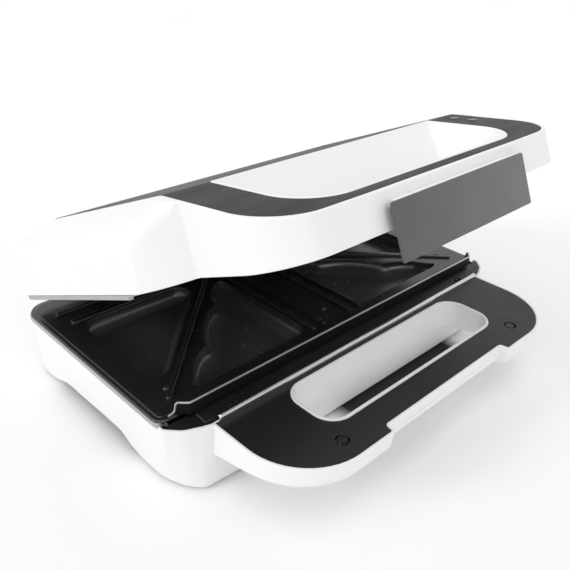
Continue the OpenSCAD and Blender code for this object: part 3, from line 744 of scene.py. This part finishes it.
def base_parts():
    parts = [base_body(), base_handle()]
    # closed corners that carry the feet
    f1 = slab([(96, 1.2, 1, 2), (117.6, 1.2, 5, 4), (124.4, 8.2, 12, 3), (128.2, 17.8, 8, 3), (129.0, 42, 1, 2), (96, 42, 3, 3)],
              -37.95, -34.8, 0.3, 0.3, [(disc(110, 22, 8.2), 0.2, 0.2)])
    f2 = slab([(105, 121, 3, 3), (129.4, 121, 1, 2), (129.0, 146.5, 7, 5), (105, 147.4, 1, 2)],
              -37.95, -34.8, 0.3, 0.3, [(disc(117, 135, 8.2), 0.2, 0.2)])
    parts += [f1, f1.mirrored(), f2, f2.mirrored()]
    for y in (62, 100):
        b = slab(disc(125.6, y, 4.2), -27.4, -12, 0.3, 0.3, [(disc(125.6, y, 1.3), 0.2, 0.2)])
        parts += [b, b.mirrored()]
        w = slab([(128.6, y - 2, 0.1, 1), (131.9, y - 2, 0.1, 1), (131.9, y + 2, 0.1, 1), (128.6, y + 2, 0.1, 1)], -27.4, -12, 0.2, 0.2)
        parts += [w, w.mirrored()]
    # hinge ears
    er = [(HY + 7.95, HZ - 1.5, 5, 3), (HY + 7.95, HZ + 8, 7.85, 8), (HY - 8, HZ + 8, 7.9, 8), (HY - 8, HZ - 3.4, 1, 2),
          (152.0, -3.4, 0.4, 0), (151.2, -29.5, 0.4, 0), (153.6, -29.5, 2, 3), (HY + 5.2, HZ - 10, 10, 4)]
    for x0, x1 in ((68, 77.5), (88, 97.5)):
        e = slab(er, x0, x1, 0.7, 0.7, [(disc(HY, HZ, 2.52), 0.3, 0.3)], kind="x", step=5.0)
        parts += [e, e.mirrored()]
    # catch behind the latch recess
    c = slab([(11, -55.5, 0.2, 2), (37, -55.5, 0.2, 2), (37, -53.0, 0.3, 2), (11, -53.0, 0.3, 2)], -7.9, -6.4, 0.2, 0.2)
    parts += [c, c.mirrored()]
    return parts


build("base_shell_body", base_parts(), on_base, WHITE, "base", ("base_shell",))

# ------------------------------------------------------- deck and trim strip
DECK_C = sym([(52.5, -53.5, 0.9, 3), (53.5, -58.6, 1.1, 3), (112.65, -58.6, 35.9, 14), (112.75, 0.9, 2.4, 4),
              (119.0, 2.9, 20, 3), (127.4, 6.5, 10, 3), (133.0, 12.0, 3, 4), (133.0, 13.9, 0.3, 2)])


def deck():
    h = [(sym([(73.7, -38.9, 12.8, 10), (73.7, -2.9, 12.8, 10)]), 0.15, 0.15)]
    for s in (1, -1):
        h.append((disc(s * 75.6, -46.9, 3.5), 0.1, 0.5))
    d = slab(DECK_C, -2.0, -0.12, 0.2, 0.3, h, step=5.0)
    # bottoms of the screw recesses
    parts = [d]
    for s in (1, -1):
        parts.append(slab(disc(s * 75.6, -46.9, 3.8), -2.4, -1.9, 0.1, 0.1, [(disc(s * 75.6, -46.9, 1.7), 0.05, 0.05)]))
    # low step under the plate's lip
    st = slab([(2.9, -1.0, 0.2, 1), (14.0, -1.0, 0.2, 1), (14.0, 1.5, 0.3, 2), (9.4, 1.5, 2, 4), (3.4, 0.8, 0.6, 3)],
              -116.5, 116.5, 0.6, 0.6, kind="x", step=30.0)
    parts.append(st)
    for s in (1, -1):
        for x in (96.0, 99.6):
            parts.append(slab(disc(s * x, 5.0, 1.2), 0.2, 1.9, 0.1, 0.5))
    return parts


build("front_deck", deck(), on_base, DECK, "base", ("base_deck",))

strip = slab([(-1.1, -0.12, 0.25, 2), (1.7, -0.12, 0.25, 2), (1.7, 3.7, 1.2, 4), (-1.1, 3.7, 1.5, 5)],
             -110.6, 110.6, 1.0, 1.0, kind="x", step=30.0, m=5)
build("trim_strip", [strip], on_base, CHROME, "base", ("front_trim_strip",))

# -------------------------------------------------------------- trim rings
low_path = ring([(130.2, 16.3, 0, 0), (134.75, 16.3, 5.0, 6), (134.75, 152.7, 12.8, 8), (-134.75, 152.7, 12.8, 8),
                 (-134.75, 16.3, 5.0, 6), (-130.2, 16.3, 0, 0)], step=8.0, closed=False)
low = sweep(low_path, [(0.35, -2.58), (0.08, -2.3), (0.0, -1.5), (0.03, -0.5), (0.25, -0.15), (0.7, -0.02), (2.6, -0.02), (2.6, -2.58)])
build("lower_trim_band", [low], on_base, SILVER, "base", ("lower_trim_ring",))
up_path = ring([(134.6, 18.4, 0, 0), (134.75, 24, 6, 3), (134.75, 152.7, 12.8, 8), (-134.75, 152.7, 12.8, 8),
                (-134.75, 24, 6, 3), (-134.6, 18.4, 0, 0)], step=8.0, closed=False)
nu = len(up_path)


def up_prof(i):
    k = min(i, nu - 1 - i)
    t = min(1.0, 0.25 + k / 3.0)
    zb = 4.15 - 2.55 * t
    return [(0.45, zb), (0.1, zb + 0.2), (0.0, zb + 0.6 * t), (0.0, 3.9), (0.3, 4.15), (2.4, 4.15), (2.4, zb)]


upr = sweep(up_path, up_prof)
build("upper_trim_band", [upr], on_lid, SILVER, "lid", ("upper_trim_ring",))

# ----------------------------------------------------------- cooking plates
LAND = 1.6
TRI_A = [(-118.0, 35.2, 8, 7), (-36, 115.5, 8, 7), (-118.0, 115.5, 8, 7)]
TUB_B = [(-109.8, 26.0, 3, 5), (-23.0, 26.0, 5, 5), (-23.0, 111.2, 3, 5)]


def bow(a, b, sag, n=14):
    """shallow arc from a to b, bulging to the left"""
    u = unit(b - a)
    v = np.array([-u[1], u[0]])
    c = float(np.linalg.norm(b - a)) / 2
    r = (c * c + sag * sag) / (2 * sag)
    w = math.asin(c / r)
    return [(a + b) / 2 + v * (sag - r) + r * (u * math.sin(t) + v * math.cos(t)) for t in np.linspace(-w, w, n + 1)]


def scallop_edge():
    """pocket next to the diagonal: two straight sides and three scallops"""
    K = [np.array(q) for q in ((-103.0, 26.5), (-77.2, 51.8), (-46.0, 82.4), (-23.5, 104.5))]
    pts = [np.array([v, 26.5]) for v in np.linspace(-97.5, -34, 13)]
    pts += corner(np.array([-90.0, 26.5]), np.array([-23.5, 26.5]), np.array([-23.5, 90.0]), 6.5, 8)
    pts += [np.array([-23.5, v]) for v in np.linspace(38, 97, 11)]
    pts += [np.array(q) for q in ((-23.7, 99.6), (-24.6, 101.8), (-26.0, 103.1))]
    arcs = [bow(K[i], K[i + 1], 4.2)[::-1] for i in (2, 1, 0)]
    pts += arcs[0][2:] + arcs[1][1:] + arcs[2][1:-2]
    pts += [np.array(q) for q in ((-103.6, 29.4), (-102.9, 27.7), (-101.2, 26.8))]
    return np.array(pts)


def offset_pts(P, d):
    n = len(P)
    out = []
    for i in range(n):
        u, v = unit(P[i] - P[i - 1]), unit(P[(i + 1) % n] - P[i])
        a, b = np.array([-u[1], u[0]]), np.array([-v[1], v[0]])
        out.append(P[i] + d * (a + b) / max(0.75, 1 + float(a @ b)))
    return np.array(out)


EDGE_B = scallop_edge()
POCK = [(-0.55, 0.0), (-0.25, -0.06), (-0.06, -0.25), (0.0, -0.6), (0.35, -2.4), (0.8, -4.2), (1.6, -5.8), (2.8, -7.1),
        (4.4, -8.2), (6.0, -8.9)]


def onto_floor(P, r=5.0):
    """nearest points of P on the rounded outline of the pocket's floor"""
    V = [np.array(q) for q in ((-72.6, 39.0), (-36.0, 39.0), (-36.0, 74.6))]
    out = []
    for g in P:
        best = None
        for i in range(3):
            a, e = V[i], V[(i + 1) % 3] - V[i]
            f = a + min(1.0, max(0.0, float((g - a) @ e) / float(e @ e))) * e
            if best is None or np.linalg.norm(g - f) < np.linalg.norm(g - best):
                best = f
        out.append(best + r * unit(g - best))
    return np.array(out)


def wall_b(d):
    """outline of the scalloped pocket, d inside its edge"""
    if d <= 0.8:
        return offset_pts(EDGE_B, d)
    E = offset_pts(EDGE_B, 0.8)
    return E + (onto_floor(E) - E) * (d - 0.8) / 5.2


LIP = []


def plate_parts(front):
    """one cooking plate, land at LAND, pockets below it"""
    p = Part()
    rs = []
    y0 = 16.1 if front else 17.0
    C = sym([(134.35, y0, 5.4, 6), (134.35, 152.3, 12.4, 8)])
    for d, z in ((2.2, -1.2), (0.6, -1.2), (0.12, -0.9), (0.0, -0.3), (0.05, 0.3), (0.3, 0.75), (0.75, 1.0), (1.6, 1.12), (2.5, 1.2), (2.9, LAND - 0.1), (3.3, LAND)):
        rs.append(p.ring(ring(C, d, step=5.0), z))
    p.skin(rs)
    holes, under_h = [], []
    for sgn in (1, -1):
        for kind in ("A", "B"):
            lv = []
            for d, dz in POCK:
                if kind == "A":
                    q = ring(TRI_A, d, step=5.0)
                else:
                    q = wall_b(d)
                if sgn < 0:
                    q = np.column_stack([-q[:, 0], q[:, 1]])[::-1]
                lv.append(p.ring(q, LAND + dz))
            p.skin(lv)
            p.f.append(tuple(lv[-1]))
            holes.append(lv[0])
            # outside of the pocket, seen from below
            lo = []
            for d, z in ((-2.4, -1.2), (-1.6, LAND - 7.0), (2.5, LAND - 11.0)):
                q = ring(TRI_A if kind == "A" else TUB_B, d if kind == "A" else d + 1.6, step=5.0)
                if sgn < 0:
                    q = np.column_stack([-q[:, 0], q[:, 1]])[::-1]
                lo.append(p.ring(q, z))
            p.skin(lo)
            p.cap(lo[-1], [])
            under_h.append(lo[0])
    p.cap(rs[-1], holes)
    p.cap(rs[0], under_h)
    parts = [p]
    zb, zt = LAND - 0.3, LAND + 1.4
    for s in (1, -1):
        for x, ye in ((-19.9, 118), (-11.2, 131.6)):
            parts.append(bar(s * x, 25, s * x, ye, 2.4, zb, zt, 0.6))
        parts.append(bar(s * -119.6, 118.6, s * -19.9, 118.6, 4.2, zb, zt, 0.7))
        parts.append(bar(s * -123.0, 131.4, s * -11.2, 131.4, 2.8, zb, zt, 0.7))
        parts.append(bar(s * -119.7, 27.8, s * -24.5, 116.6, 2.7, zb, zt, 0.6))
        parts.append(slab(disc(s * -116.2, 34.8, 1.7), zb, zt + 0.1, 0.02, 1.1, m=4))
    parts.append(slab(disc(0, 36.5, 1.9), zb, zt + 0.1, 0.02, 1.2, m=4))
    if front:
        # raised lip with stepped ends
        path = ring([(123.9, 15.9, 0, 0), (122.6, 14.6, 0.8, 2), (118.9, 11.2, 1.6, 3), (0, 11.0, 0, 0), (-118.9, 11.2, 1.6, 3),
                     (-122.6, 14.6, 0.8, 2), (-123.9, 15.9, 0, 0)], step=12.0, closed=False)
        path = path[::-1]
        prof = [(0.0, 2.0), (-0.1, 2.3), (-0.1, 7.9), (0.1, 8.6), (0.6, 9.05), (1.2, 9.0), (1.75, 8.6), (2.4, 7.6), (4.2, 3.6),
                (5.6, 1.9), (6.6, LAND - 0.4), (6.6, 0.4), (2.8, 0.4), (2.8, 2.0)]
        n = len(path)

        def lip(i):
            k = min(i, n - 1 - i)
            f = (0.35, 0.4, 0.5, 0.7, 0.9)[k] if k < 5 else 1.0
            return [(o * f if o > 0 else o, z) for o, z in prof]
        LIP.append(sweep(path, lip))
    return parts


def tube(path, r, m=8):
    p = Part()
    path = [np.array(q, float) for q in path]
    n = len(path)
    rs = []
    for i in range(n):
        t = path[min(n - 1, i + 1)] - path[max(0, i - 1)]
        t /= np.linalg.norm(t)
        u = np.cross(t, (0.1, 1.0, 0.3))
        u /= np.linalg.norm(u)
        w = np.cross(t, u)
        rs.append([len(p.v) + k for k in range(m)])
        for k in range(m):
            a = 2 * math.pi * k / m
            p.v.append(tuple(path[i] + r * (u * math.cos(a) + w * math.sin(a))))
    p.skin(rs)
    p.f += [tuple(rs[0]), tuple(rs[-1])]
    return p


build("lower_cooking_plate", plate_parts(True), on_base, PLATE, "base", ("lower_plate",))
# painted highlight: a thin light bead along the lip's top edge and stepped ends, standing in for the line of light
# there
bead = [(60.0 * k, 11.25, 8.95) for k in range(0, 2)] + [(118.4, 11.25, 8.95), (119.4, 11.5, 8.95), (121.8, 13.5, 9.0), (122.8, 14.5, 9.0), (123.6, 15.3, 8.7),
        (124.2, 15.8, 7.6), (124.3, 16.0, 5.4), (124.5, 16.2, 4.0), (125.1, 16.3, 3.1), (126.4, 16.3, 2.7), (128.2, 16.4, 2.4)]
bead = [(-q[0], q[1], q[2]) for q in reversed(bead[1:])] + bead
build("plate_lip", LIP, on_base, MATT, "base", ())
build("plate_lip_highlight", [tube(bead, 0.55)], on_base, EDGE, "base", ())
build("upper_cooking_plate", [q.flipped(3.3) for q in plate_parts(False)], on_lid, PLATE, "lid", ("upper_plate",))

# -------------------------------------------------------------------- latch
LY, LZ = -60.2, 15.1
clip = [slab([(-53.4, -10, 1.0, 3), (53.4, -10, 1.0, 3), (53.4, 16.4, 1.4, 4), (-53.4, 16.4, 1.4, 4)], LY - 3.0, LY - 1.8, 0.35, 0.3,
             kind="y", step=12.0)]
knuckles = []
for s in ((-48.6, -42.6), (-35.4, 35.4), (42.6, 48.6)):
    knuckles.append(slab([(LY - 1.9, LZ - 1.9, 1.5, 5), (LY + 1.9, LZ - 1.9, 1.88, 6), (LY + 1.9, LZ + 1.9, 1.88, 6), (LY - 1.9, LZ + 1.9, 1.5, 5)],
                         s[0], s[1], 0.3, 0.3, [(disc(LY, LZ, 0.98), 0.1, 0.1)], kind="x", step=20.0))
for s in (1, -1):
    clip.append(slab([(LY - 2.2, -9.9, 0.2, 2), (LY + 1.4, -9.9, 0.6, 3), (LY + 2.0, -8.6, 0.4, 3), (LY - 2.2, -8.0, 0.2, 2)],
                     min(s * 11.4, s * 36.4), max(s * 11.4, s * 36.4), 0.3, 0.3, kind="x", step=20.0))
build("drop_latch", clip, on_lid, CLIP, "latch", ("latch_clip",))
build("latch_knuckles", knuckles, on_lid, WHITE, "latch", ())

# -------------------------------------------------------------- the stage
bpy.ops.mesh.primitive_plane_add(size=8.0, location=(0, 0, 0))
floor = bpy.context.object
floor.name = "floor"
fm, nt, b = new_mat("floor_white")
v = coords(nt, 1.0)
plain = mix(nt, remap(nt, noise(nt, v, 3.0, 3.0), 0.3, 0.7, 0, 1), grey(0.93), grey(0.95))
sep = nt.nodes.new("ShaderNodeSeparateXYZ")
nt.links.new(v, sep.inputs[0])


def soft_box(nt, value, lo, hi, edge):
    a = remap(nt, value, lo, lo + edge, 0.0, 1.0)
    c = remap(nt, value, hi - edge, hi, 1.0, 0.0)
    m = nt.nodes.new("ShaderNodeMath")
    m.operation = "MULTIPLY"
    nt.links.new(a, m.inputs[0])
    nt.links.new(c, m.inputs[1])
    return m.outputs[0]


# painted shadow: a soft near-black patch on the floor under the base's hand opening, standing in for the deep shadow
# there
painted_shadow_mask = nt.nodes.new("ShaderNodeMath")
painted_shadow_mask.operation = "MULTIPLY"
nt.links.new(soft_box(nt, sep.outputs["X"], -0.030, 0.094, 0.012), painted_shadow_mask.inputs[0])
nt.links.new(soft_box(nt, sep.outputs["Y"], -0.071, -0.053, 0.004), painted_shadow_mask.inputs[1])
x = nt.nodes.new("ShaderNodeMix")
x.data_type = "RGBA"
x.inputs[7].default_value = (0.02, 0.02, 0.02, 1)
nt.links.new(plain, x.inputs[6])
nt.links.new(painted_shadow_mask.outputs[0], x.inputs[0])
nt.links.new(x.outputs[2], b.inputs["Base Color"])
b.inputs["Roughness"].default_value = 0.9
floor.data.materials.append(fm)

world = bpy.data.worlds.new("world")
bpy.context.scene.world = world
world.use_nodes = True
world.node_tree.nodes["Background"].inputs["Color"].default_value = (1, 1, 1, 1)
world.node_tree.nodes["Background"].inputs["Strength"].default_value = 0.80


def sun(name, direction, strength, angle):
    d = bpy.data.lights.new(name, "SUN")
    d.energy = strength
    d.angle = math.radians(angle)
    o = bpy.data.objects.new(name, d)
    bpy.context.scene.collection.objects.link(o)
    o.rotation_mode = "QUATERNION"
    o.rotation_quaternion = Vector(direction).to_track_quat("Z", "Y")
    return o


sun("side", (-0.86, 0.36, 0.36), 0.80, 15)
sun("front", (-0.15, -0.85, 0.5), 0.20, 25)
sun("top", (-0.15, -0.1, 1.0), 0.50, 50)
